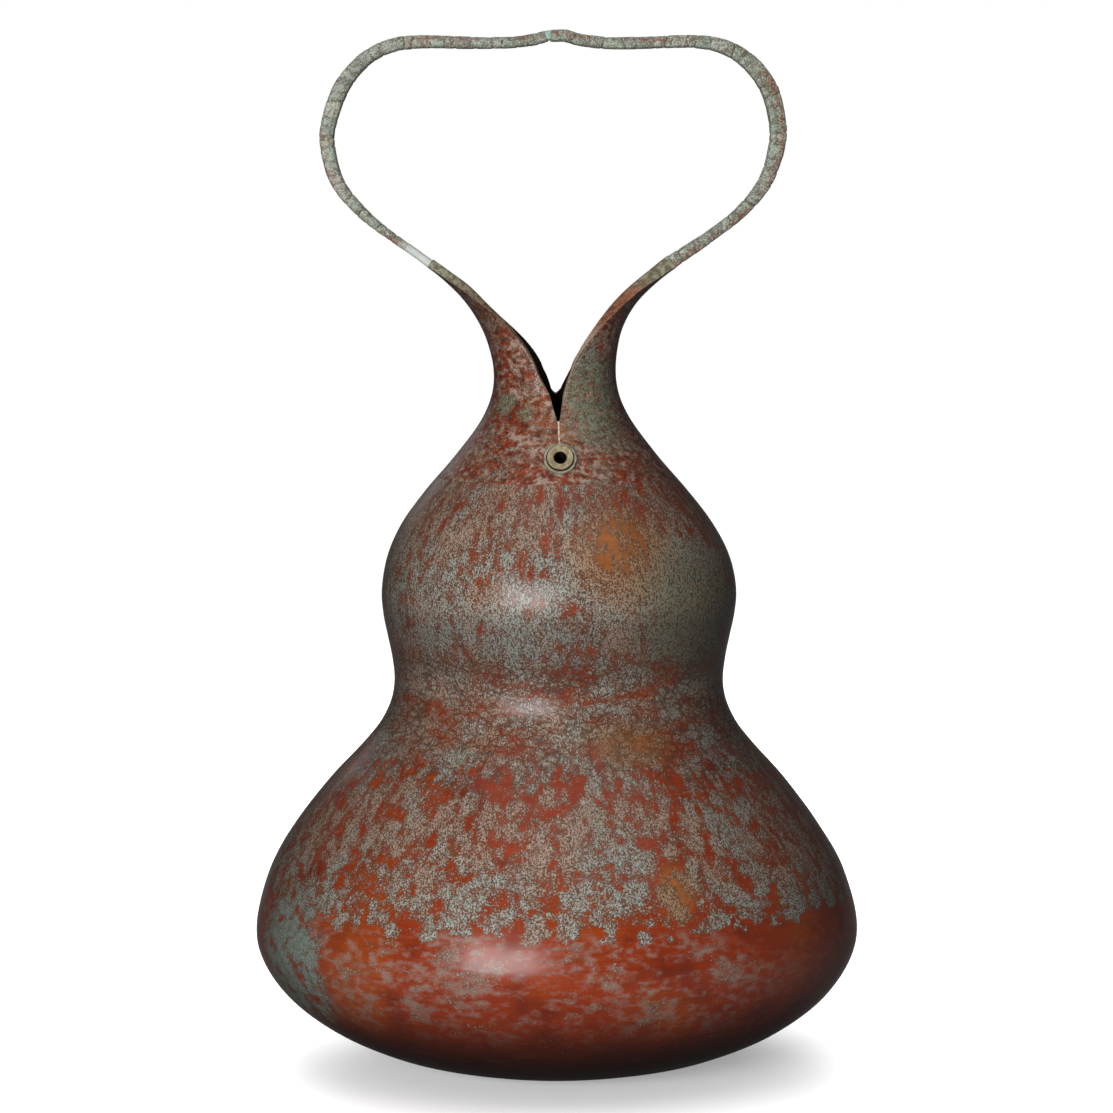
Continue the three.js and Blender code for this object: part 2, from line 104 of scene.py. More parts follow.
def spline(values, part):
    """Smooth curve through equally spaced values, read part of the way along"""
    place = min(max(part, 0), 1) * (len(values) - 1)
    index = min(int(place), len(values) - 2)
    t = place - index
    a, b, c, d = (values[min(max(index + k, 0), len(values) - 1)] for k in (-1, 0, 1, 2))
    into, out = (c - a) / 2, (d - b) / 2
    return b + t * (into + t * (3 * (c - b) - 2 * into - out + t * (into + out - 2 * (c - b))))


def stations(low, high, shares):
    return [(blend(low[0], high[0], change), blend(low[1], high[1], rise))
            for rise, change in shares]


def draw_outline(per_span=60):
    points = [
        FOOT, *stations(FOOT, BELLY, FOOT_TO_BELLY), BELLY, *stations(BELLY, WAIST, BELLY_TO_WAIST),
        WAIST, *stations(WAIST, BULB, WAIST_TO_BULB), BULB, *stations(BULB, NECK, BULB_TO_NECK),
        NECK, *stations(NECK, WIDEST, NECK_TO_WIDEST), WIDEST,
        *stations(WIDEST, TOP, WIDEST_TO_TOP)]
    mirrored = [(-x, z) for x, z in reversed(points)]
    points = [np.array(p, float) * MM for p in [*points, TOP, *mirrored[:6]]]
    points.insert(0, 2 * points[0] - points[1])
    line = []
    for a, b, c, d in zip(points, points[1:], points[2:], points[3:]):
        ta, tb, tc = (math.sqrt(np.linalg.norm(q - p)) for p, q in ((a, b), (b, c), (c, d)))
        into = tb * ((b - a) / ta - (c - a) / (ta + tb) + (c - b) / tb)
        out = tb * ((c - b) / tb - (d - b) / (tb + tc) + (d - c) / tc)
        for i in range(per_span):
            t = i / per_span
            line.append(b + t * into + t * t * (3 * (c - b) - 2 * into - out)
                        + t ** 3 * (into + out - 2 * (c - b)))
    return np.array(line)


OUTLINE = draw_outline()
REACH = np.concatenate(([0], np.cumsum(np.linalg.norm(np.diff(OUTLINE, axis=0), axis=1))))


def spot(length):
    """Place on the outline and the unit normal that points into the vase or the loop"""
    step = 0.1 * MM
    x, z = (np.interp(length, REACH, OUTLINE[:, i]) for i in (0, 1))
    ahead = [np.interp(length + step, REACH, OUTLINE[:, i]) for i in (0, 1)]
    behind = [np.interp(length - step, REACH, OUTLINE[:, i]) for i in (0, 1)]
    tangent = np.array(ahead) - np.array(behind)
    tangent /= np.linalg.norm(tangent)
    return x, z, -tangent[1], tangent[0]


def first_length(passed, start=0.0):
    """Length along the outline at which a place first passes a test"""
    index = next(i for i, reach in enumerate(REACH) if reach >= start and passed(*OUTLINE[i]))
    return REACH[index]


def length_at(height):
    return first_length(lambda x, z: z >= height)


WAIST_LENGTH = length_at(WAIST[1] * MM)
ROOT_HEIGHT = blend(BULB[1], NECK[1], 0.513) * MM
ROOT_LENGTH = length_at(ROOT_HEIGHT)
FRONT_NOTCH = length_at(blend(BULB[1], NECK[1], 0.763) * MM)
BACK_NOTCH = length_at(blend(BULB[1], NECK[1], 0.882) * MM)
HORN_TIP = length_at(blend(NECK[1], WIDEST[1], 0.426) * MM)
WIDEST_LENGTH = length_at((WIDEST[1] - 0.01) * MM)
HEIGHT = TOP[1] * MM


def inset(length, depth=0.0):
    """Place at a length along the outline, that deep under it"""
    x, z, in_x, in_z = spot(length)
    return x + depth * in_x, z + depth * in_z


def run(start, end, depth, steps):
    return [inset(blend(start, end, i / steps), depth) for i in range(steps + 1)]


def sway(height):
    """How far horns and handle lean over at a height"""
    return SWAY * spline(SWAY_SHARES, (height - ROOT_HEIGHT) / (HEIGHT - ROOT_HEIGHT))


# ---- Modelling helpers

def finish_piece(name, slot, material, *nodes, angle=40):
    """Names and dresses the piece that was just made, puts it under the root, and hides the solids
    it stands for
    """
    piece = bpy.context.object
    piece.name = name
    piece.data.name = name
    bpy.ops.object.mode_set(mode="OBJECT")
    bpy.ops.object.shade_smooth_by_angle(angle=math.radians(angle))
    if material:
        piece.data.materials.clear()
        piece.data.materials.append(material)
    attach(piece, "root")
    if nodes:
        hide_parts(*nodes)
    return piece


def turned(profile, steps):
    """A chain of extruded points, spun about the upright axis"""
    bpy.ops.object.select_all(action="DESELECT")
    bpy.ops.mesh.primitive_plane_add(size=MM, location=(profile[0][0], 0, profile[0][1]))
    bpy.ops.object.transform_apply(location=True, rotation=False, scale=False)
    bpy.ops.object.mode_set(mode="EDIT")
    bpy.ops.mesh.select_all(action="SELECT")
    bpy.ops.mesh.merge(type="CENTER")
    for (x, z), (next_x, next_z) in zip(profile, profile[1:]):
        bpy.ops.mesh.extrude_region_move(
            TRANSFORM_OT_translate={"value": (next_x - x, 0, next_z - z)})
    bpy.ops.mesh.select_all(action="SELECT")
    bpy.ops.mesh.spin(steps=steps, angle=math.tau, center=(0, 0, 0), axis=(0, 0, 1))
    bpy.ops.mesh.select_all(action="SELECT")
    bpy.ops.mesh.remove_doubles(threshold=0.001 * MM)
    bpy.ops.mesh.normals_make_consistent(inside=False)
    bpy.ops.object.mode_set(mode="OBJECT")
    return bpy.context.object


def sheet(rows):
    """A grid whose points are laid on rows of places"""
    across, along = len(rows[0]), len(rows)
    bpy.ops.object.select_all(action="DESELECT")
    bpy.ops.mesh.primitive_grid_add(
        x_subdivisions=across - 1, y_subdivisions=along - 1, size=MM, location=(0, 0, 0))
    piece = bpy.context.object
    places = np.array(rows, float).reshape(-1, 3)
    piece.data.vertices.foreach_set("co", places.ravel())
    return piece


def merge_doubles(threshold):
    bpy.ops.object.mode_set(mode="EDIT")
    bpy.ops.mesh.select_all(action="SELECT")
    bpy.ops.mesh.remove_doubles(threshold=threshold)
    bpy.ops.object.mode_set(mode="OBJECT")


def close_tube():
    """Joins a rolled sheet along its length, closes both ends and turns the faces outwards"""
    merge_doubles(0.002 * MM)
    bpy.ops.object.mode_set(mode="EDIT")
    bpy.ops.mesh.select_all(action="DESELECT")
    bpy.ops.mesh.select_non_manifold(extend=False)
    bpy.ops.mesh.fill_holes(sides=64)
    bpy.ops.mesh.select_all(action="SELECT")
    bpy.ops.mesh.normals_make_consistent(inside=False)
    bpy.ops.object.mode_set(mode="OBJECT")


def apply_modifiers(piece):
    for modifier in list(piece.modifiers):
        bpy.ops.object.modifier_apply(modifier=modifier.name)


def ease(value, low, high):
    share = min(max((value - low) / (high - low), 0), 1)
    return share * share * (3 - 2 * share)


def raise_by_hand(piece):
    """The small dents and the lean that raising the sheet by hand leaves"""
    count = len(piece.data.vertices)
    places = np.empty(count * 3)
    piece.data.vertices.foreach_get("co", places)
    places = places.reshape(-1, 3)
    for i, place in enumerate(places):
        at = Vector(place)
        swell = WIDE_DENT * noise.noise(at * WIDE_DENT_RATE)
        swell += FINE_DENT * noise.noise(at * FINE_DENT_RATE)
        flat = Vector((at.x, at.y, 0))
        fade = ease(flat.length, 0, 30 * MM) * ease(at.z, 0, 12 * MM)
        if flat.length > 0:
            places[i] += np.array(flat.normalized()) * swell * fade
        lean = ease(at.z, 75 * MM, 130 * MM) * (1 - ease(at.z, 165 * MM, 200 * MM))
        places[i, 0] += LEAN * lean
    piece.data.vertices.foreach_set("co", places.ravel())
    piece.data.update()


# ---- Finishes

def linear(red, green, blue):
    """Colour as read on a screen, 0 to 255, to the light that Blender works with"""
    values = (v / 255 for v in (red, green, blue))
    return (*(v / 12.92 if v <= 0.04045 else ((v + 0.055) / 1.055) ** 2.4 for v in values), 1)


# Thin brown film of wax and soot over the patina, which swallows light that leaves at a slant
FILM = (0.67, 0.65, 0.63, 1)
THIN_FILM = (0.93, 0.91, 0.89, 1)
EVEN_GLOSS, INSIDE_GLOSS = 0.0115, 0.004


class Value:
    """A number on a socket, which takes part in sums"""

    def __init__(self, nodes, socket):
        self.nodes, self.socket = nodes, socket

    def sum(self, operation, first, second):
        return self.nodes.maths(operation, first, second)

    def __add__(self, other):
        return self.sum("ADD", self, other)

    def __radd__(self, other):
        return self.sum("ADD", other, self)

    def __sub__(self, other):
        return self.sum("SUBTRACT", self, other)

    def __rsub__(self, other):
        return self.sum("SUBTRACT", other, self)

    def __mul__(self, other):
        return self.sum("MULTIPLY", self, other)

    def __rmul__(self, other):
        return self.sum("MULTIPLY", other, self)

    def power(self, other):
        return self.sum("POWER", self, other)

    def larger(self, other):
        return self.sum("MAXIMUM", self, other)

    def smaller(self, other):
        return self.sum("MINIMUM", self, other)


class Nodes:
    """The nodes of a material or of the world, all made by one kind of call"""

    def __init__(self, tree):
        self.tree = tree

    def node(self, kind, settings=None, **sockets):
        """A node with its settings. Sockets go by name, or by number as i0, i1 and so on."""
        made = self.tree.nodes.new(kind)
        for key, value in (settings or {}).items():
            setattr(made, key, value)
        for key, value in sockets.items():
            socket = int(key[1:]) if key[1:].isdigit() else key.replace("_", " ")
            self.feed(made.inputs[socket], value)
        return made

    def feed(self, socket, value):
        if isinstance(value, Value):
            value = value.socket
        if isinstance(value, bpy.types.NodeSocket):
            self.tree.links.new(value, socket)
        else:
            socket.default_value = value

    def maths(self, operation, *values):
        inputs = {f"i{i}": value for i, value in enumerate(values)}
        made = self.node("ShaderNodeMath", {"operation": operation}, **inputs)
        return Value(self, made.outputs[0])

    def backdrop_rays(self):
        """1 for rays that show the backdrop: to the camera, off a gloss and through glass"""
        rays = self.node("ShaderNodeLightPath").outputs
        names = ("Is Camera Ray", "Is Glossy Ray", "Is Transmission Ray")
        camera, glossy, clear = (Value(self, rays[name]) for name in names)
        return camera.larger(glossy).larger(clear)


class Finish(Nodes):
    """A material that follows the piece's own coordinates"""

    def __init__(self, name):
        self.material = bpy.data.materials.new(name)
        self.material.use_nodes = True
        super().__init__(self.material.node_tree)
        self.shader = self.tree.nodes["Principled BSDF"]
        self.place = self.node("ShaderNodeTexCoord").outputs["Object"]

    def vector(self, x, y, z):
        return self.node("ShaderNodeCombineXYZ", X=x, Y=y, Z=z).outputs[0]

    def parts(self, vector):
        split = self.node("ShaderNodeSeparateXYZ", Vector=vector)
        return [Value(self, socket) for socket in split.outputs]

    def noise(self, vector, size, detail=2.0, rough=0.5):
        """Cloudy value about 0.5, with clouds of about that size in millimetres"""
        made = self.node("ShaderNodeTexNoise", Vector=vector, Scale=1000 / size, Detail=detail,
                         Roughness=rough)
        return Value(self, made.outputs["Fac"])

    def cells(self, vector, size, feature="F1", jitter=1.0):
        """Distance to the middle or the border of cells of that size in millimetres"""
        made = self.node("ShaderNodeTexVoronoi", {"feature": feature}, Vector=vector,
                         Scale=1000 / size, Randomness=jitter)
        return Value(self, made.outputs["Distance"])

    def dice(self, number, first, second):
        """A value from 0 to 1 that is drawn anew for each whole number"""
        made = self.node("ShaderNodeTexWhiteNoise", Vector=self.vector(number, first, second))
        return Value(self, made.outputs["Value"])

    def rise(self, value, low, high, to_low=0.0, to_high=1.0):
        """Smooth step of a value from one level to another"""
        made = self.node("ShaderNodeMapRange", {"interpolation_type": "SMOOTHSTEP", "clamp": True},
                         Value=value, i1=low, i2=high, i3=to_low, i4=to_high)
        return Value(self, made.outputs[0])

    def mix(self, share, low, high):
        """Colour between two colours"""
        made = self.node("ShaderNodeMix", {"data_type": "RGBA", "clamp_factor": True})
        self.feed(made.inputs[0], share)
        self.feed(made.inputs[6], low)
        self.feed(made.inputs[7], high)
        return made.outputs[2]

    def tint(self, colour, value):
        """Colour made lighter or darker by a value about 1"""
        made = self.node("ShaderNodeVectorMath", {"operation": "SCALE"})
        self.feed(made.inputs[0], colour)
        self.feed(made.inputs[3], value)
        return made.outputs[0]

    def wavy(self, coordinates, size, amount):
        """Coordinates pushed about by a cloud of that size, both in millimetres"""
        cloud = self.node("ShaderNodeTexNoise", Vector=coordinates, Scale=1000 / size, Detail=1.0)
        push = self.node("ShaderNodeVectorMath", {"operation": "SCALE"},
                         i0=cloud.outputs["Color"], i3=amount * MM).outputs[0]
        return self.node("ShaderNodeVectorMath", i0=coordinates, i1=push).outputs[0]

    def wrapped(self, radius, tall=1.0, wide=1.0):
        """Coordinates that follow the turned body: round it at a radius, and up it"""
        x, y, z = self.parts(self.place)
        flat = self.node("ShaderNodeVectorMath", {"operation": "NORMALIZE"},
                         i0=self.vector(x, y, 0.0)).outputs[0]
        east, north, _ = self.parts(flat)
        return self.vector(east * (radius * wide), north * (radius * wide), z * tall)

    def near(self, place, size, stretch=(1, 1, 1)):
        """1 at a place, falling to 0 at a distance from it"""
        x, y, z = self.parts(self.place)
        away = [(v - c) * (1 / (size * s)) for v, c, s in zip((x, y, z), place, stretch)]
        return self.rise(away[0] * away[0] + away[1] * away[1] + away[2] * away[2], 1.0, 0.0)

    def done(self, colour, roughness, height, depth, gloss=EVEN_GLOSS, film=FILM):
        """Matt patina under a film, with a thin even gloss mixed in"""
        bump = self.node("ShaderNodeBump", Height=height, Strength=1.0, Distance=depth).outputs[0]
        matt = {"Base Color": colour, "Roughness": roughness, "Normal": bump,
                "Specular IOR Level": 0, "Coat Weight": 1, "Coat IOR": 1.01,
                "Coat Roughness": 0.35, "Coat Tint": film}
        for name, value in matt.items():
            self.feed(self.shader.inputs[name], value)
        shine = self.node("ShaderNodeBsdfPrincipled", Base_Color=(0.9, 0.9, 0.9, 1), Metallic=1.0,
                          Roughness=roughness, Normal=bump)
        both = self.node("ShaderNodeMixShader", i0=gloss, i1=self.shader.outputs[0],
                         i2=shine.outputs[0])
        self.feed(self.tree.nodes["Material Output"].inputs["Surface"], both.outputs[0])
        return self.material


RUST = linear(133, 45, 6)
RUST_DEEP = linear(98, 28, 6)
RUST_ORANGE = linear(158, 80, 14)
AMBER = linear(168, 126, 84)
FOOT_DARK = linear(50, 18, 8)
GREY_GREEN = linear(154, 166, 160)
GREY_WARM = linear(168, 150, 136)
TEAL = linear(124, 150, 142)
SPECK = linear(46, 34, 26)
BETWEEN = linear(100, 72, 54)
OLIVE = linear(120, 134, 114)
PALE_AMBER = linear(158, 100, 44)
CRACK = linear(58, 42, 30)
ASH_WASH = linear(136, 130, 122)
BROWN_STREAK = linear(106, 66, 44)
FLAKE_TEAL = linear(126, 152, 147)
NECK_GREEN = linear(128, 148, 126)
NECK_UMBER = linear(66, 30, 16)
NECK_DUN = linear(122, 92, 74)
NECK_ASH = linear(166, 148, 136)
NECK_DARK = linear(46, 28, 16)


def on_body(degrees_right, height, radius):
    """Place on the front of the body, by its angle to the right and its height in millimetres"""
    angle = math.radians(degrees_right)
    return (radius * MM * math.sin(angle), -radius * MM * math.cos(angle), height * MM)


# Middles of the patches that differ from the rest of the patina
BELLY_AMBER, WAIST_AMBER = on_body(24, 76, 97), on_body(24, 116, 66)
BELLY_BARE, BELLY_BARE_LOW = on_body(46, 58, 96), on_body(62, 36, 98)
BELLY_TEAL = on_body(-60, 42, 102)
BULB_AMBER = on_body(23, 180, 56)
BULB_OLIVE, BULB_THICK = on_body(50, 158, 56), on_body(48, 160, 56)
NECK_AMBER, NECK_TEAL = on_body(14, 219, 30), on_body(34, 228, 24)
NECK_SPOT_FAR, NECK_SPOT_NEAR = on_body(-49, 226, 21), on_body(-27, 222, 22)
EYELET_WORN = on_body(0, 203, 36)
# Middle of a pale painted highlight low on the left strap
STRAP_PAINTED_HIGHLIGHT = (-44.5 * MM, -3.4 * MM, 274.5 * MM)


class Gourd(Finish):
    """Rust-red ground under a crust of fine grey-green grains, thick here and thin there

    With a radius, the pattern follows the turned body. Without one, it fills space.
    """

    def __init__(self, name, radius):
        super().__init__(name)
        self.radius = radius
        self.around = self.wrapped(radius) if radius else self.place
        x, y, z = self.parts(self.place)
        self.height = z * 1000
        self.angle = self.maths("ARCTAN2", x, y * -1)
        self.grain = self.noise(self.around, 0.48, 1, 0.5)

    def streaked(self, tall=1.0, wide=1.0):
        """Coordinates on which a pattern comes out drawn along or round the body"""
        if self.radius:
            return self.wrapped(self.radius, tall, wide)
        x, y, z = self.parts(self.place)
        return self.vector(x * wide, y * wide, z * tall)

    def cloud(self, size, amount, detail=2, coordinates=None):
        """Cloudy value about 0"""
        return (self.noise(coordinates or self.around, size, detail) - 0.5) * amount

    def band(self, bottom, top, soft=3, wander=14):
        """1 between two heights in millimetres, with edges that wander"""
        height = self.height + self.cloud(26, wander)
        inside = 1
        if bottom is not None:
            inside = self.rise(height, bottom - soft, bottom + soft)
        if top is not None:
            inside = inside * self.rise(height, top + soft, top - soft)
        return inside

    def ground(self, spots):
        """Rust-red under the crust, brushed round the body, with amber spots"""
        brushed = self.noise(self.streaked(wide=0.1), 1.4, 3, 0.6)
        colour = self.mix(self.rise(self.cloud(18, 1, 3), -0.04, -0.2) * 0.75, RUST, RUST_DEEP)
        colour = self.mix(self.rise(self.cloud(42, 1), 0.04, 0.22) * 0.35, colour, RUST_ORANGE)
        for place, size, stretch in spots:
            colour = self.mix(self.near(place, size * MM, stretch) * 0.75, colour, PALE_AMBER)
        return self.tint(colour, self.rise(brushed, 0.3, 0.7, 0.86, 1.13)), brushed

    def waist_crust(self):
        """Thickness of the crust and a thin net of cracks, alike on both sides of the waist"""
        place = self.wavy(self.wrapped(WAIST[0] * MM, wide=0.62), 4, 3)
        borders = self.cells(place, 2.4, "DISTANCE_TO_EDGE")
        net = self.rise(borders + self.cloud(1.4, 0.16) + self.cloud(9, 0.26), 0.135, 0.01)
        streaks = self.cloud(7, 1.2, 3, self.wrapped(WAIST[0] * MM, wide=0.4))
        return streaks + self.cloud(2.2, 0.7, 2, place) - net * 0.15 + 0.62, net

    def crusted(self, thick, ground, brushed, *, green, green_as, ridges, lines, speck=None,
                warm=(), cool=0, shade=1, smooth=0):
        """Lays the crust over the ground, where its thickness runs from 0 to 1

        Warm and green hold patches, each a middle, a size in millimetres and a stretch. Smooth
        is the share of the crust that has no grain, and lines are its cracks.
        """
        grain = self.grain
        thick = self.rise(thick, -0.02, 0.9)
        veil = self.mix(self.rise(thick, 0.1, 0.8) * 0.8, ground, BETWEEN)
        crust = self.rise(grain + thick * 0.34, 0.7, 0.92).larger(smooth)
        colour = self.mix(self.rise(self.cloud(20, 1) + cool, -0.06, 0.16), GREY_WARM, GREY_GREEN)
        colour = self.mix(self.rise(self.cloud(30, 1), 0.06, 0.2) * 0.3, colour, TEAL)
        for place, size, stretch in warm:
            colour = self.mix(self.near(place, size * 1.4 * MM, stretch) * 0.8, colour, AMBER)
        for place, size, stretch in green:
            colour = self.mix(self.near(place, size * MM, stretch), colour, green_as)
        colour = self.mix(crust * 0.92, veil, colour)
        speck = self.noise(self.around, 0.52, 1, 0.5) if speck is None else speck
        pits = self.rise(speck, 0.47, 0.38) * self.rise(thick, 0.25, 0.8) * (1 - smooth * 0.5)
        colour = self.mix(pits * 0.72, colour, SPECK)
        colour = self.mix(lines, colour, CRACK)
        relief = crust * 0.5 + grain * 0.3 + brushed * 0.2 - pits * 0.4 + ridges
        # Shade scales the whole colour; where it is below 1 it is painted shade
        colour = self.tint(colour, shade)
        return self.done(colour, self.rise(thick, 0.2, 0.9, 0.21, 0.25), relief, 0.02 * MM)


def belly_finish():
    """Scalloped crust above the widest line, thin and bare below it, and dark at the foot"""
    f = Gourd("belly_patina", 92 * MM)
    amber = ((BELLY_AMBER, 17, (0.5, 0.5, 1)), (WAIST_AMBER, 16, (1.2, 1, 0.5)))
    ground, brushed = f.ground(amber)
    columns = f.maths("COSINE", f.angle * 52 + f.noise(f.around, 34, 1) * 7)

    blobs = f.rise(f.cells(f.around, 7.2, jitter=0.95) + f.cloud(3.2, 0.7), 0.75, 0.3)
    thick = blobs * 0.36 + columns * 0.05 + f.cloud(2.8, 1.6, 3) + f.cloud(30, 0.5) + 0.42
    edge = f.height + blobs * 3 + columns + f.cloud(7, 10) + f.cloud(2.2, 5, 3)
    scallop = f.rise(edge, 60, 63.5)
    patches = (thick - f.band(99, 111, 3, 8) * 0.12) * scallop * f.band(None, 113)

    waist, net = f.waist_crust()
    waist = waist * f.band(109, None)

    soft = f.rise(f.cloud(3.6, 1.2, 3, f.streaked(wide=0.7)) + f.cloud(18, 1), -0.16, 0.34) * 0.45
    bare = f.near(BELLY_BARE, 34 * MM, (1, 1, 0.32))
    bare = bare.larger(f.near(BELLY_BARE_LOW, 56 * MM) * 0.75)
    low = soft * (1 - bare) * f.rise(f.height, 61, 57) * f.rise(f.height, 12, 32)

    flake = f.near(BELLY_TEAL, 38 * MM, (0.75, 0.8, 0.95)) * f.rise(f.cloud(5, 1, 3), -0.24, 0.06)
    thick = patches.larger(waist).larger(low).larger(flake)

    streaks = f.noise(f.streaked(wide=0.22), 2.4, 3, 0.6)
    # Darker towards the foot
    dark = f.rise(f.height + f.cloud(20, 10), 38, 10)
    wash = f.rise(f.cloud(2.4, 1.2, 3, f.streaked(wide=0.6)) + f.cloud(18, 0.7), -0.1, 0.3)
    wash = wash * f.rise(f.grain, 0.3, 0.6, 0.5, 1.0)
    wash = wash * (1 - bare) * f.rise(f.height, 62, 58) * f.rise(f.height, 16, 40)
    ground = f.mix(wash * 0.75, ground, ASH_WASH)
    ground = f.mix(dark * 0.95, ground, FOOT_DARK)
    ground = f.mix(f.rise(streaks, 0.52, 0.66) * dark * 0.25, ground, BROWN_STREAK)
    plates = f.cells(f.wavy(f.around, 4, 4), 3.4, "DISTANCE_TO_EDGE") + f.cloud(1.6, 0.2)
    plates = f.rise(plates, 0.1, -0.02)
    lines = (net * f.band(104, None) * 0.52).larger(plates * flake * 0.45)
    cool = f.rise(f.height, 84, 62) * 0.2 + f.band(104, None) * 0.1
    smooth = f.rise(flake + f.cloud(2.2, 1.6, 3), 0.35, 1.0) * 0.7
    return f.crusted(thick, ground, brushed, green=((BELLY_TEAL, 40, (0.8, 0.9, 1)),),
                     green_as=FLAKE_TEAL, warm=amber, cool=cool, lines=lines,
                     ridges=lines * -1.5, smooth=smooth)


def bulb_finish():
    """Crust drawn up and down, with painted shade at the bottom, an amber patch and an olive side
    """
    f = Gourd("bulb_patina", 58 * MM)
    amber = ((BULB_AMBER, 17, (1, 1, 1.1)),)
    ground, brushed = f.ground(amber)
    hatch = f.noise(f.streaked(tall=0.5), 0.55, 1, 0.5)
    streaks = f.cloud(2.6, 1, 2, f.streaked(tall=0.4))
    thick = f.cloud(5, 1.1, 3) + streaks * 1.2 + f.cloud(26, 0.7) + 0.56
    thick = thick + f.band(146, 174, 8, 8) * 0.16 + f.band(174, 189, 5, 8) * 0.14
    thick = thick - f.near(BULB_AMBER, 15 * MM) * 0.32
    right = f.near(BULB_THICK, 36 * MM, (0.9, 1, 0.9))
    waist, net = f.waist_crust()
    share = f.rise(f.height + f.cloud(16, 12), 148, 138)
    lines = net * share * 0.52
    thick = (thick + right * 0.2) * (1 - share) + waist * share
    cool = f.band(148, 180, 8, 8) * 0.14 + share * 0.1
    # Painted shade on the bulb's downward-facing underside, above the waist
    shade = 1 - f.band(136, 158, 5, 3) * 0.32
    return f.crusted(thick, ground, brushed, green=((BULB_OLIVE, 34, (0.9, 1, 0.9)),),
                     green_as=OLIVE, warm=amber, cool=cool, lines=lines, ridges=lines * -1.5,
                     speck=hatch, shade=shade)


def neck_finish():
    """Dark and pale mottle with folded lines, a teal side, and horns darkened partly as dark patina
    and partly as painted shade
    """
    f = Gourd("neck_patina", None)
    ground, brushed = f.ground(((NECK_AMBER, 9, (1, 1, 1)),))
    wound = f.wavy(f.streaked(tall=1.25), 5, 3)
    mottle = f.noise(wound, 2.8, 4, 0.68)
    folds = f.maths("ABSOLUTE", f.noise(wound, 3.6, 2) - 0.5)
    lines = f.rise(folds + f.cloud(2, 0.08), 0.034, 0.006) * 0.6
    wide = f.cloud(8, 0.3)
    ground = f.mix(f.rise(mottle, 0.36, 0.47), NECK_UMBER, ground)
    ground = f.mix(f.rise(mottle + wide, 0.45, 0.54) * 0.8, ground, NECK_DUN)
    ground = f.mix(f.rise(mottle + wide, 0.51, 0.6) * 0.85, ground, NECK_ASH)
    right = f.near(NECK_TEAL, 20 * MM, (0.9, 1, 1.3))
    left = f.near(NECK_SPOT_FAR, 6 * MM).larger(f.near(NECK_SPOT_NEAR, 5 * MM))
    thick = f.cloud(2.6, 1.6, 3) + f.cloud(13, 1.0) + 0.26 + right * 0.5 + left * 0.6
    thick = thick - f.near(EYELET_WORN, 14 * MM, (1.2, 1, 0.4)) * 0.3
    # Horns darker: partly dark patina, partly painted shade
    dark = f.rise(f.height, 244, 262)
    ground = f.mix(dark * 0.7, ground, NECK_DARK)
    green = ((NECK_TEAL, 20, (0.85, 1, 1.2)), (NECK_SPOT_FAR, 8, (1, 1, 1)),
             (NECK_SPOT_NEAR, 7, (1, 1, 1)))
    smooth = f.rise(right * 0.7 + f.cloud(2.6, 1.8, 4), 0.35, 0.9) * 0.55
    return f.crusted(thick - dark * 0.35, ground, brushed, green=green, green_as=NECK_GREEN,
                     lines=lines, ridges=mottle * 12 - lines * 4, smooth=smooth)


belly_patina = belly_finish()
bulb_patina = bulb_finish()
neck_patina = neck_finish()


def inside_finish():
    """The inside of the vase, painted near-black as shade"""
    f = Finish("inside_painted_shade")
    fog = f.noise(f.place, 9, 3)
    colour = f.mix(fog, linear(26, 24, 20), linear(52, 44, 34))
    return f.done(colour, 0.6, fog, 0.1 * MM, gloss=INSIDE_GLOSS)


def edge_wear_and_highlight_finish():
    """Cut edges: pale grey-pink low down, partly rubbed wear and partly painted highlight, salmon
    above, grey-green at the tips
    """
    f = Finish("worn_edge_and_highlight")
    x, _, z = f.parts(f.place)
    height = z * 1000
    mottle = f.noise(f.place, 1.5, 3, 0.6)
    # Pale low edges: partly rubbed wear, partly painted highlight
    low = f.mix(mottle, linear(156, 138, 124), linear(120, 98, 82))
    salmon = f.mix(f.rise(mottle, 0.38, 0.62), linear(120, 80, 58), linear(88, 52, 34))
    tip = f.mix(f.rise(mottle, 0.36, 0.6), linear(124, 128, 110), linear(84, 78, 60))
    right = f.mix(f.rise(height, 249, 255), low, salmon)
    right = f.mix(f.rise(height + (mottle - 0.5) * 14, 262, 271), right, tip)
    brown = f.mix(f.rise(mottle, 0.36, 0.62), linear(110, 98, 80), linear(66, 50, 36))
    left = f.mix(f.rise(height, 240, 248), low, brown)
    left = f.mix(f.rise(height + (mottle - 0.5) * 14, 260, 272), left, tip)
    colour = f.mix(f.rise(x, -0.004, 0.004), left, right)
    specks = f.rise(f.noise(f.place, 0.7, 2, 0.6), 0.46, 0.36)
    colour = f.mix(specks * 0.6, colour, linear(66, 52, 40))
    return f.done(colour, 0.45, mottle, 0.04 * MM, film=THIN_FILM)


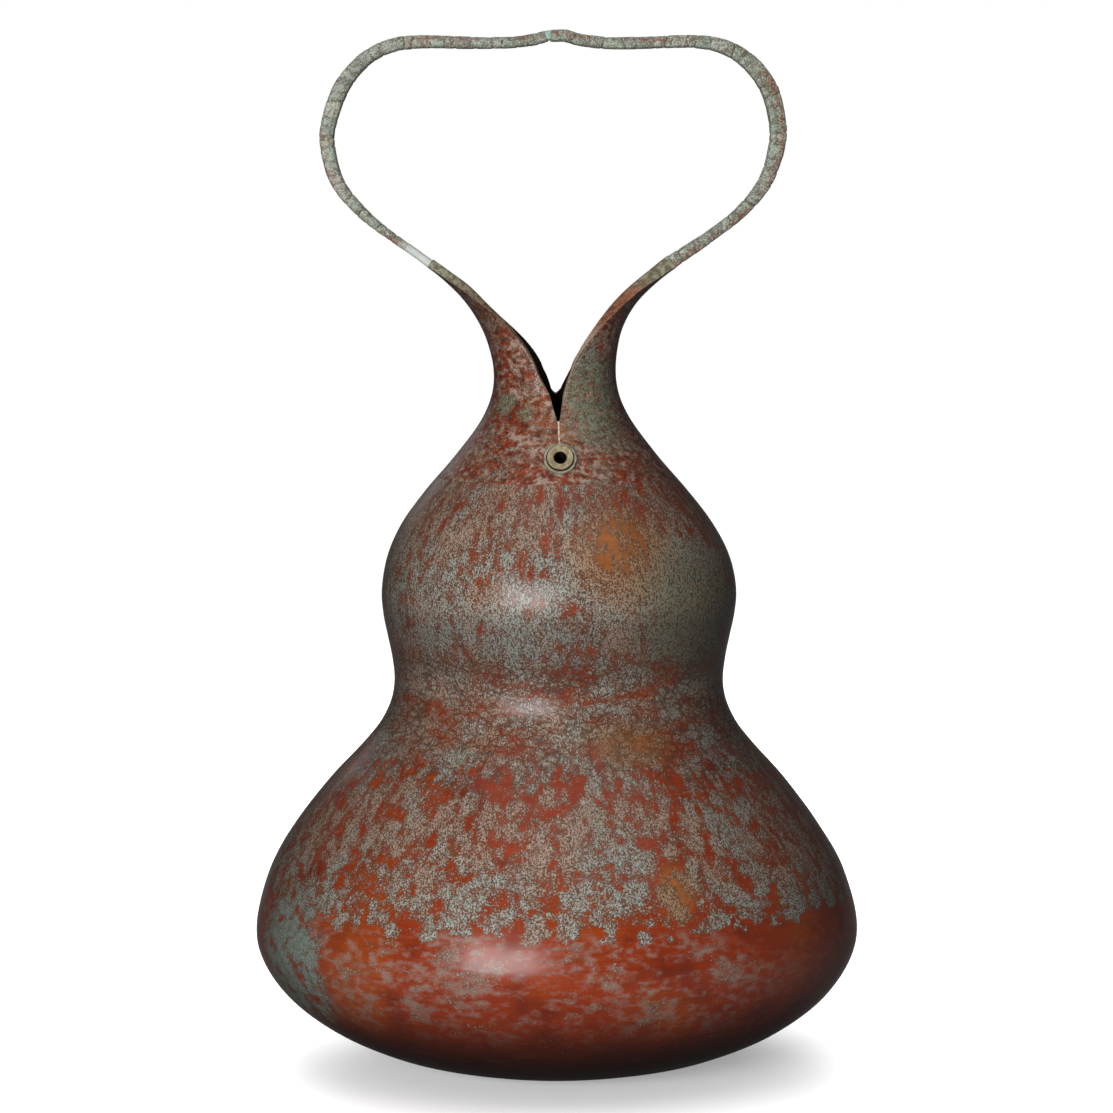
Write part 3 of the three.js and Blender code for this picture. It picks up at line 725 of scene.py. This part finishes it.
def strap_patina(side):
    """Hammered strap: each mark keeps its own tone, with dark seams between the marks, and a
    painted highlight low on the left strap
    """
    f = Finish("left_strap_patina" if side < 0 else "right_strap_patina")
    count, turn, _ = f.parts(f.node("ShaderNodeUVMap").outputs["UV"])
    cell, part = f.maths("FLOOR", count), f.maths("FRACT", count)
    shade, other = f.dice(cell, 3.7, 1.3), f.dice(cell, 9.1, 5.2)
    mottle = f.noise(f.place, 1.3, 3, 0.65)
    fine = f.noise(f.place, 0.5, 1, 0.5)
    wide = f.noise(f.place, 14, 2)
    pale = f.mix(f.rise(other, 0.2, 0.8), linear(142, 154, 144), linear(142, 142, 130))
    teal = f.mix(f.rise(shade, 0.3, 0.9), linear(126, 144, 130), linear(134, 150, 136))
    colour = f.mix(f.rise(shade * 0.5 + wide, 0.6, 0.9), pale, teal)
    bright = 0.92 if side < 0 else 1.0
    colour = f.tint(colour, f.rise(other, 0, 1, 0.64 * bright, 0.92 * bright))
    stains = f.rise(mottle + (wide - 0.5) * 0.4, 0.43, 0.58)
    colour = f.mix(stains * 0.75, colour, linear(80, 72, 58))
    deep = f.rise(f.dice(f.maths("ROUND", count), 2.3, 7.7), 0.25, 0.75, 0.15, 1.0)
    seam = f.rise(part.smaller(1 - part) + (fine - 0.5) * 0.2 + (mottle - 0.5) * 0.5, 0.1, -0.02)
    seam = seam * deep
    rim = f.maths("ABSOLUTE", f.maths("FRACT", turn * 2) - 0.5)
    rim = f.rise(rim + (mottle - 0.5) * 0.6, 0.36, 0.5)
    colour = f.mix(rim * f.rise(wide, 0.4, 0.6) * 0.75, colour, linear(112, 60, 44))
    colour = f.mix(seam * 0.85, colour, linear(50, 40, 30))
    colour = f.mix(f.rise(fine, 0.46, 0.34) * 0.65, colour, linear(62, 54, 42))
    colour = f.mix(f.rise(fine, 0.58, 0.68) * 0.5, colour, linear(176, 180, 168))
    # Pale painted highlight low on the left strap
    colour = f.mix(f.near(STRAP_PAINTED_HIGHLIGHT, 13 * MM) * 0.7, colour, linear(186, 194, 192))
    relief = (1 - seam) * 0.4 + fine * 0.3 + mottle * 0.4
    return f.done(colour, 0.34, relief, 0.05 * MM, film=THIN_FILM)


def small_finish(name, light, dark, speck, rough=0.45):
    """Mottle of two colours with specks, for the small pieces"""
    f = Finish(name)
    mottle = f.noise(f.place, 2.0, 3, 0.6)
    fine = f.noise(f.place, 0.7, 2, 0.6)
    colour = f.mix(f.rise(mottle, 0.36, 0.64), light, dark)
    colour = f.mix(f.rise(fine, 0.4, 0.32) * 0.6, colour, speck)
    return f.done(colour, rough, mottle * 0.6 + fine * 0.4, 0.1 * MM, film=THIN_FILM)


inside_painted_shade = inside_finish()
worn_edge_and_highlight = edge_wear_and_highlight_finish()
washer_patina = small_finish("washer_patina", linear(126, 132, 114), linear(106, 92, 74), SPECK)
tube_patina = small_finish("tube_patina", linear(142, 134, 108), linear(112, 98, 76),
                           linear(84, 72, 52), 0.4)
filling_patina = small_finish("filling_patina", linear(140, 172, 158), linear(118, 148, 136),
                              linear(80, 92, 84))
# Pale bead: partly the seam's own pale patina, partly a painted highlight along the seam
bead_patina_and_highlight = small_finish("bead_patina_and_highlight", linear(184, 172, 158), linear(140, 122, 104), SPECK)
disc_patina = small_finish("disc_patina", linear(96, 66, 48), linear(64, 44, 34), SPECK)


# ---- Belly and bulb

belly_profile = [
    *run(0, WAIST_LENGTH, 0, 150), *run(WAIST_LENGTH, length_at(FLOOR_HEIGHT), BODY_WALL, 50),
    (LEDGE_INSIDE, LEDGE_TOP), (LEDGE_INSIDE, LEDGE_BOTTOM), (FOOT_INSIDE, LEDGE_BOTTOM),
    (FOOT_INSIDE, 0), (FOOT[0] * MM, 0)]
raise_by_hand(turned(belly_profile, BODY_STEPS))
finish_piece("belly", "belly_shell", belly_patina, "belly_shell")

bulb_profile = [
    *run(WAIST_LENGTH, ROOT_LENGTH, 0, 80), *run(ROOT_LENGTH, WAIST_LENGTH + LAP, BODY_WALL, 30),
    *run(WAIST_LENGTH, WAIST_LENGTH - LAP, BODY_WALL + SEAT_GAP + SPIGOT_WALL, 2),
    *run(WAIST_LENGTH - LAP, WAIST_LENGTH, BODY_WALL + SEAT_GAP, 2), inset(WAIST_LENGTH)]
raise_by_hand(turned(bulb_profile, BODY_STEPS))
finish_piece("bulb", "bulb_shell", bulb_patina, "bulb_shell")

turned([(0, PLATE_BOTTOM), (20 * MM, PLATE_BOTTOM), (PLATE_FLAT, PLATE_BOTTOM),
        (PLATE_RADIUS, PLATE_BOTTOM + PLATE_SHOULDER), (PLATE_RADIUS, PLATE_TOP - PLATE_SHOULDER),
        (PLATE_FLAT, PLATE_TOP), (0, PLATE_TOP)], PLATE_STEPS)
finish_piece("base_disc", "base_plate", disc_patina, "base_plate")


# ---- Neck and horns

def neck_section(length, side):
    """Where the sheet runs at a length: its radius, height, wall, lean and two free edges"""
    x, z, in_x, in_z = spot(length)
    climb = (length - BACK_NOTCH) / (HORN_TIP - BACK_NOTCH)
    opened = (length - FRONT_NOTCH) / (BACK_NOTCH - FRONT_NOTCH)
    front = 0.0
    if climb > 0:
        front = spline(FRONT_OPENING[side], climb)
    elif opened > 0:
        front = FRONT_OPENING[side][0] * opened
    rounding = min(1, math.sqrt(max(0, climb) / NOTCH_CURVE))
    back = rounding * spline(BACK_OPENING[side], climb)
    seam = SEAM_TURN * max(0, 1 - front / FRONT_OPENING[side][1])
    below = z < NECK[1] * MM
    curl = blend(x if below else NECK[0] * MM, STRAP_DEPTH / 2 / math.sin(TIP_ANGLE),
                 spline(HORN_CURL, climb))
    wall = blend(NECK_WALL, STRAP_START[side], spline(HORN_WALL[side], climb))
    return dict(
        x=x, z=z, curl=curl, wall=wall, lean=(-1, 0) if below else (in_x, in_z),
        front=blend(math.pi / 2, TIP_ANGLE, front) - side * seam,
        back=blend(math.pi / 2, TIP_ANGLE, back))


def neck_row(length, side):
    """Places across the sheet, from its front edge round to its back edge, and its wall"""
    s = neck_section(length, side)
    row = []
    for column in range(NECK_COLUMNS + 1):
        angle = blend(-s["front"], s["back"], column / NECK_COLUMNS)
        sag = s["curl"] * (1 - math.cos(angle))
        row.append((side * (s["x"] + sag * s["lean"][0]) + sway(s["z"]),
                    s["curl"] * math.sin(angle), s["z"] + sag * s["lean"][1]))
    return row, s["wall"]


def neck_lengths():
    """Lengths of the sheet's rows, closer together where the back notch curves"""
    curve_end = blend(BACK_NOTCH, HORN_TIP, NOTCH_CURVE)
    runs = ((ROOT_LENGTH, FRONT_NOTCH, 14), (FRONT_NOTCH, BACK_NOTCH, 10),
            (BACK_NOTCH, curve_end, 6), (curve_end, HORN_TIP, 44))
    lengths = [blend(a, b, i / n) for a, b, n in runs for i in range(n)]
    return [*lengths, HORN_TIP]


def half_neck(side):
    """One side of the neck with its horn, with the wall thickness kept as a weight"""
    rows, walls = zip(*(neck_row(length, side) for length in neck_lengths()))
    half = sheet(rows)
    wall = half.vertex_groups.new(name="wall")
    for index in range(len(half.data.vertices)):
        wall.add([index], walls[index // (NECK_COLUMNS + 1)] / STRAP_START[1], "REPLACE")
    if side < 0:
        half.data.flip_normals()
    return half


left_half = half_neck(-1)
right_half = half_neck(1)
left_half.select_set(True)
right_half.select_set(True)
bpy.context.view_layer.objects.active = right_half
bpy.ops.object.join()
merge_doubles(0.02 * MM)
neck = bpy.context.object
neck.data.materials.clear()
for finish in (neck_patina, inside_painted_shade, worn_edge_and_highlight):
    neck.data.materials.append(finish)
raise_by_hand(neck)
walls = neck.modifiers.new("wall", "SOLIDIFY")
walls.thickness = STRAP_START[1]
walls.offset = -1
walls.vertex_group = "wall"
walls.material_offset = 1
walls.material_offset_rim = 2
edges = neck.modifiers.new("edges", "BEVEL")
edges.width = EDGE_BEVEL
edges.segments = 2
edges.limit_method = "ANGLE"
edges.angle_limit = math.radians(50)
apply_modifiers(neck)


# ---- Straps

def top_length(x):
    """Length along the outline, past the widest place, at which it comes in to x"""
    return first_length(lambda px, pz: px <= x, WIDEST_LENGTH)


def bar_section(depth, thickness, corner, per_corner=4, per_side=3):
    """Rounded rectangle as (inward, across) places, with the outer face at zero"""
    half = depth / 2
    middles = ((corner, corner - half, math.pi), (corner, half - corner, math.pi / 2),
               (thickness - corner, half - corner, 0),
               (thickness - corner, corner - half, -math.pi / 2))
    corners = []
    for inward, across, start in middles:
        angles = [start + math.pi / 2 * (1 - i / (per_corner - 1)) for i in range(per_corner)]
        corners.append([(inward + corner * math.cos(a), across + corner * math.sin(a))
                        for a in angles])
    places = []
    for here, after in zip(corners, corners[1:] + corners[:1]):
        places += here
        (x0, y0), (x1, y1) = here[-1], after[0]
        places += [(blend(x0, x1, i / per_side), blend(y0, y1, i / per_side))
                   for i in range(1, per_side)]
    return places


def bar(marks, side, thickness_at, depth=STRAP_DEPTH, recess=0.0, groove=0.2 * MM, rough=0.14 * MM,
        seed=0):
    """Bar along the outline, hammered flat between the marks. Its UV map counts the marks."""
    dice = random.Random(SEED + seed)
    steps = (0, 0.05, 0.16, 0.5, 0.84, 0.95)
    skews = [dice.uniform(-0.35, 0.35) for _ in marks]
    grooves = [groove * dice.uniform(0.1, 1) for _ in marks]
    rows, counts = [], []
    for cell, (start, end) in enumerate(zip(marks, marks[1:])):
        sink = [dice.uniform(0, rough) for _ in range(4)]
        tilt = [dice.uniform(-rough, rough) for _ in range(4)]
        last = cell == len(marks) - 2
        for t in steps + ((1,) if last else ()):
            length = blend(start, end, t)
            skew = blend(skews[cell], skews[cell + 1], t)
            if (cell == 0 and t == 0) or t == 1:
                skew = 0
            dip = grooves[cell + round(t)] * (1 - ease(min(t, 1 - t), 0, 0.16))
            thickness = thickness_at((length - marks[0]) / (marks[-1] - marks[0]))
            row = []
            for inward, across in bar_section(depth, thickness, STRAP_CORNER):
                x, z, in_x, in_z = spot(length + skew * (inward - thickness / 2))
                deep = inward / thickness
                wide = across / depth + 0.5
                shift_in = (1 - deep) ** 2 * (sink[0] + dip) - deep ** 2 * (sink[1] + dip)
                shift_in += tilt[0] * (t - 0.5) * (1 - deep)
                shift_y = (1 - wide) ** 2 * (sink[2] + dip) - wide ** 2 * (sink[3] + dip)
                shift_y += tilt[2] * (t - 0.5) * (1 - wide) - tilt[3] * (t - 0.5) * wide
                inward += recess + shift_in
                row.append((side * (x + inward * in_x) + sway(z), across + shift_y,
                            z + inward * in_z))
            row.append(row[0])
            rows.append(row)
            counts.append(cell + t)
    piece = sheet(rows)
    uv = piece.data.uv_layers.active.data
    width = len(rows[0])
    for loop in piece.data.loops:
        index = loop.vertex_index
        uv[loop.index].uv = (counts[index // width], (index % width) / (width - 1))
    close_tube()


def hammer_marks(start, end, low, high, seed):
    """Lengths at which the hammer marks meet"""
    dice = random.Random(SEED + seed)
    marks = [start]
    while marks[-1] < end - high:
        marks.append(marks[-1] + dice.uniform(low, high))
    return [*marks, end]


def strap(side):
    end = top_length(-side * TOP_JOINT_SHIFT + TOP_JOINT_WIDTH / 2)
    marks = hammer_marks(HORN_TIP, end, SHORTEST_MARK, LONGEST_MARK, side + 2)
    bar(marks, side, lambda part: spline(STRAP_THICKNESS[side], part) * MM, seed=side + 5)


strap(-1)
finish_piece("left_strap_bar", "left_strap", strap_patina(-1), "left_strap", angle=25)
strap(1)
finish_piece("right_strap_bar", "right_strap", strap_patina(1), "right_strap", angle=25)
filling_ends = [top_length(-TOP_JOINT_SHIFT + TOP_JOINT_WIDTH / 2),
                top_length(-TOP_JOINT_SHIFT - TOP_JOINT_WIDTH / 2)]
bar(filling_ends, 1, lambda part: FILLING_THICKNESS, depth=STRAP_DEPTH - 2 * FILLING_RECESS,
    recess=FILLING_RECESS, groove=0.1 * MM, seed=9)
finish_piece("top_filling", "handle_top_joint", filling_patina, "handle_top_joint")


# ---- Nail eyelet and the seam above it

EYELET_LENGTH = length_at(blend(BULB[1], NECK[1], 0.613) * MM)
EYELET_TILT = math.radians(12)
WASHER_FRONT, WASHER_HOLE, WASHER_EDGE = 1.9, 3.2, 5.5
TUBE_HOLE, TUBE_OUTSIDE, TUBE_END = 2.1, 2.9, -5
DRILL_RADIUS, DRILL_DEPTH = 2.95 * MM, 8 * MM
MOUTH = int(np.argmax(OUTLINE[:, 1] > NECK[1] * MM))
eyelet_x, eyelet_z, eyelet_in_x, eyelet_in_z = spot(EYELET_LENGTH)
eyelet_lift = math.atan2(-eyelet_in_z, -eyelet_in_x) - EYELET_TILT
outward = Vector((math.sin(SEAM_TURN), -math.cos(SEAM_TURN), 0))
eyelet_axis = outward * math.cos(eyelet_lift) + Vector((0, 0, math.sin(eyelet_lift)))
eyelet_frame = (Matrix.Translation(outward * eyelet_x + Vector((0, 0, eyelet_z)))
                @ Vector((0, 0, 1)).rotation_difference(eyelet_axis).to_matrix().to_4x4())


def neck_radius(z):
    """Radius of the outline below the mouth, at a height in metres"""
    return float(np.interp(z, OUTLINE[:, 1][:MOUTH], OUTLINE[:, 0][:MOUTH]))


def to_eyelet(piece, seated=False):
    """Moves a piece that was turned upright to the eyelet, its back edge laid on the neck"""
    for vertex in piece.data.vertices:
        place = vertex.co.copy()
        if seated and place.z < 0:
            low, high = -4 * MM, 3 * MM
            for _ in range(24):
                middle = (low + high) / 2
                at = eyelet_frame @ Vector((place.x, place.y, middle))
                if math.hypot(at.x, at.y) > neck_radius(at.z):
                    high = middle
                else:
                    low = middle
            place.z = low - 0.1 * MM
        vertex.co = eyelet_frame @ place
    piece.data.update()
    return piece


def rounded(profile, size, segments=3):
    """Profile with its corners rounded"""
    points = []
    for before, here, after in zip([profile[-1]] + profile[:-1], profile,
                                   profile[1:] + profile[:1]):
        here = Vector(here)
        into = (Vector(before) - here)
        away = (Vector(after) - here)
        cut = min(size, into.length * 0.45, away.length * 0.45)
        a, b = here + into.normalized() * cut, here + away.normalized() * cut
        for i in range(segments + 1):
            t = i / segments
            points.append(a.lerp(here, t).lerp(here.lerp(b, t), t))
    return [(p.x, p.y) for p in points] + [(points[0].x, points[0].y)]


def eyelet_piece(corners, rounding, seated=False):
    """Turns a profile, given in millimetres from the eyelet's axis and up it, and puts it there"""
    profile = rounded([(x * MM, z * MM) for x, z in corners], rounding)
    to_eyelet(turned(profile, EYELET_STEPS), seated)


eyelet_piece((
    (WASHER_HOLE, -1), (WASHER_EDGE, -1), (WASHER_EDGE, WASHER_FRONT - 0.15), (5.2, WASHER_FRONT),
    (4.6, WASHER_FRONT), (WASHER_HOLE, WASHER_FRONT)), 0.18 * MM, seated=True)
washer = finish_piece("washer", "eyelet_washer", washer_patina, "eyelet_washer", angle=30)
eyelet_piece((
    (TUBE_HOLE, TUBE_END), (TUBE_OUTSIDE, TUBE_END), (TUBE_OUTSIDE, WASHER_FRONT + 0.1),
    (4.2, WASHER_FRONT + 0.1), (4.45, WASHER_FRONT + 0.5), (4.3, WASHER_FRONT + 0.95),
    (3.6, WASHER_FRONT + 0.85), (2.5, WASHER_FRONT + 0.62), (TUBE_HOLE, WASHER_FRONT + 0.3)),
    0.16 * MM)
tube = finish_piece("flanged_tube", "eyelet_tube", tube_patina, "eyelet_tube", angle=30)
# The washer's middle, which the flange covers, and the inside of the tube take the dark inside
# finish: painted shade down the bore
for piece, reach in ((washer, 4.8 * MM), (tube, 2.2 * MM)):
    piece.data.materials.append(inside_painted_shade)
    for face in piece.data.polygons:
        at = eyelet_frame.inverted() @ face.center
        if math.hypot(at.x, at.y) < reach:
            face.material_index = 1


def drilled(piece, radius, depth):
    """Cuts a round hole through the front of the piece, along the eyelet's axis"""
    profile = [(0, -depth), (radius, -depth), (radius, depth), (0, depth)]
    cutter = to_eyelet(turned(profile, DRILL_STEPS))
    drill = piece.modifiers.new("drill", "BOOLEAN")
    drill.operation = "DIFFERENCE"
    drill.object = cutter
    bpy.context.view_layer.objects.active = piece
    bpy.ops.object.modifier_apply(modifier=drill.name)
    bpy.data.objects.remove(cutter)
    bpy.ops.object.select_all(action="DESELECT")
    piece.select_set(True)


drilled(neck, DRILL_RADIUS, DRILL_DEPTH)
finish_piece("neck_and_horns", "neck_with_horns", None, "neck_with_horns")


def seam_bead(steps=16, around=10, thickness=0.4 * MM):
    """Raised bead of brazing from the eyelet up to the front notch"""
    start, end = EYELET_LENGTH + 4.6 * MM, FRONT_NOTCH + 1.2 * MM
    rows = []
    for i in range(steps + 1):
        x, z, in_x, in_z = spot(blend(start, end, i / steps))
        middle = Vector((outward.x * x + sway(z), outward.y * x, z))
        out = -(outward * in_x + Vector((0, 0, in_z)))
        across = Vector((-outward.y, outward.x, 0))
        size = thickness * (0.75 + 0.25 * math.sin(i * 2.1))
        row = [middle + across * size * math.cos(a) + out * (0.6 * size * math.sin(a))
               for a in (math.tau * k / around for k in range(around))]
        row.append(row[0])
        rows.append(row)
    sheet(rows)
    close_tube()


seam_bead()
finish_piece("seam_bead", "neck_with_horns", bead_patina_and_highlight)


# ---- Camera, lights and floor

# The camera as solved from the photo's outline, with its focal length in pixels of the photo
PHOTO_WIDTH, FOCAL_PIXELS, SENSOR_WIDTH = 1113, 3799.07, 36
CAMERA_PLACE, CAMERA_TARGET = (0, -1.3, 0.2874), (0, 0, 0.1735)
LAMP_TARGET = (0, 0, 0.16)
FILL_LIGHT = 0.05
FLOOR_SIZE = 12


def put_and_aim(name, data, place, target):
    """A camera or lamp at a place, looking at a target"""
    item = bpy.data.objects.new(name, data)
    bpy.context.scene.collection.objects.link(item)
    item.location = place
    item.rotation_euler = (Vector(target) - Vector(place)).to_track_quat("-Z", "Y").to_euler()
    return item


def lamp(name, place, size, energy):
    data = bpy.data.lights.new(name, "AREA")
    data.shape = "RECTANGLE"
    data.size, data.size_y = size
    data.energy = energy
    put_and_aim(name, data, place, LAMP_TARGET)


camera = put_and_aim("camera", bpy.data.cameras.new("camera"), CAMERA_PLACE, CAMERA_TARGET)
camera.data.sensor_width = SENSOR_WIDTH
camera.data.sensor_fit = "HORIZONTAL"
camera.data.lens = FOCAL_PIXELS / PHOTO_WIDTH * SENSOR_WIDTH
camera.data.clip_start = 0.01
bpy.context.scene.camera = camera
bpy.context.scene.view_settings.view_transform = "Standard"

lamp("softbox", (-0.53, -1.45, 0.33), (0.84, 0.48), 35)
lamp("top_softbox", (0.1, -0.4, 1.7), (1.8, 1.8), 17)
lamp("back_softbox", (-0.25, 1.7, 0.95), (1.6, 1.0), 44)

world = bpy.data.worlds.new("studio")
bpy.context.scene.world = world
world.use_nodes = True
background = world.node_tree.nodes["Background"]
background.inputs["Color"].default_value = (1, 1, 1, 1)
studio = Nodes(world.node_tree)
strength = studio.backdrop_rays() * (1 - FILL_LIGHT) + FILL_LIGHT
studio.feed(background.inputs["Strength"], strength)


def paper_finish():
    """White paper that fades into the background, with the lamps' shadow and a soft painted shadow
    under the vase
    """
    f = Finish("paper")
    x, y, _ = f.parts(f.place)
    away = (x * x + y * y).power(0.5)
    shown = f.backdrop_rays()
    lit = (shown * 0.6 + 0.1) * f.rise(away, 0.6, 1.4, 1, 0)
    # The glow dips near the vase: a painted shadow
    glow_with_painted_shadow = f.rise(away, 0.05, 0.15, 0.3, 0.72) * f.rise(away, 0.5, 1.3, 1, 1 / 0.72)
    f.feed(f.shader.inputs["Base Color"], f.tint((1, 1, 1), lit))
    f.feed(f.shader.inputs["Emission Color"], f.tint((1, 1, 1), shown * glow_with_painted_shadow))
    f.shader.inputs["Emission Strength"].default_value = 1
    f.shader.inputs["Roughness"].default_value = 0.9
    return f.material


bpy.ops.object.select_all(action="DESELECT")
bpy.ops.mesh.primitive_plane_add(size=FLOOR_SIZE, location=(0, 0, 0))
floor = bpy.context.object
floor.name = "floor"
floor.data.materials.append(paper_finish())
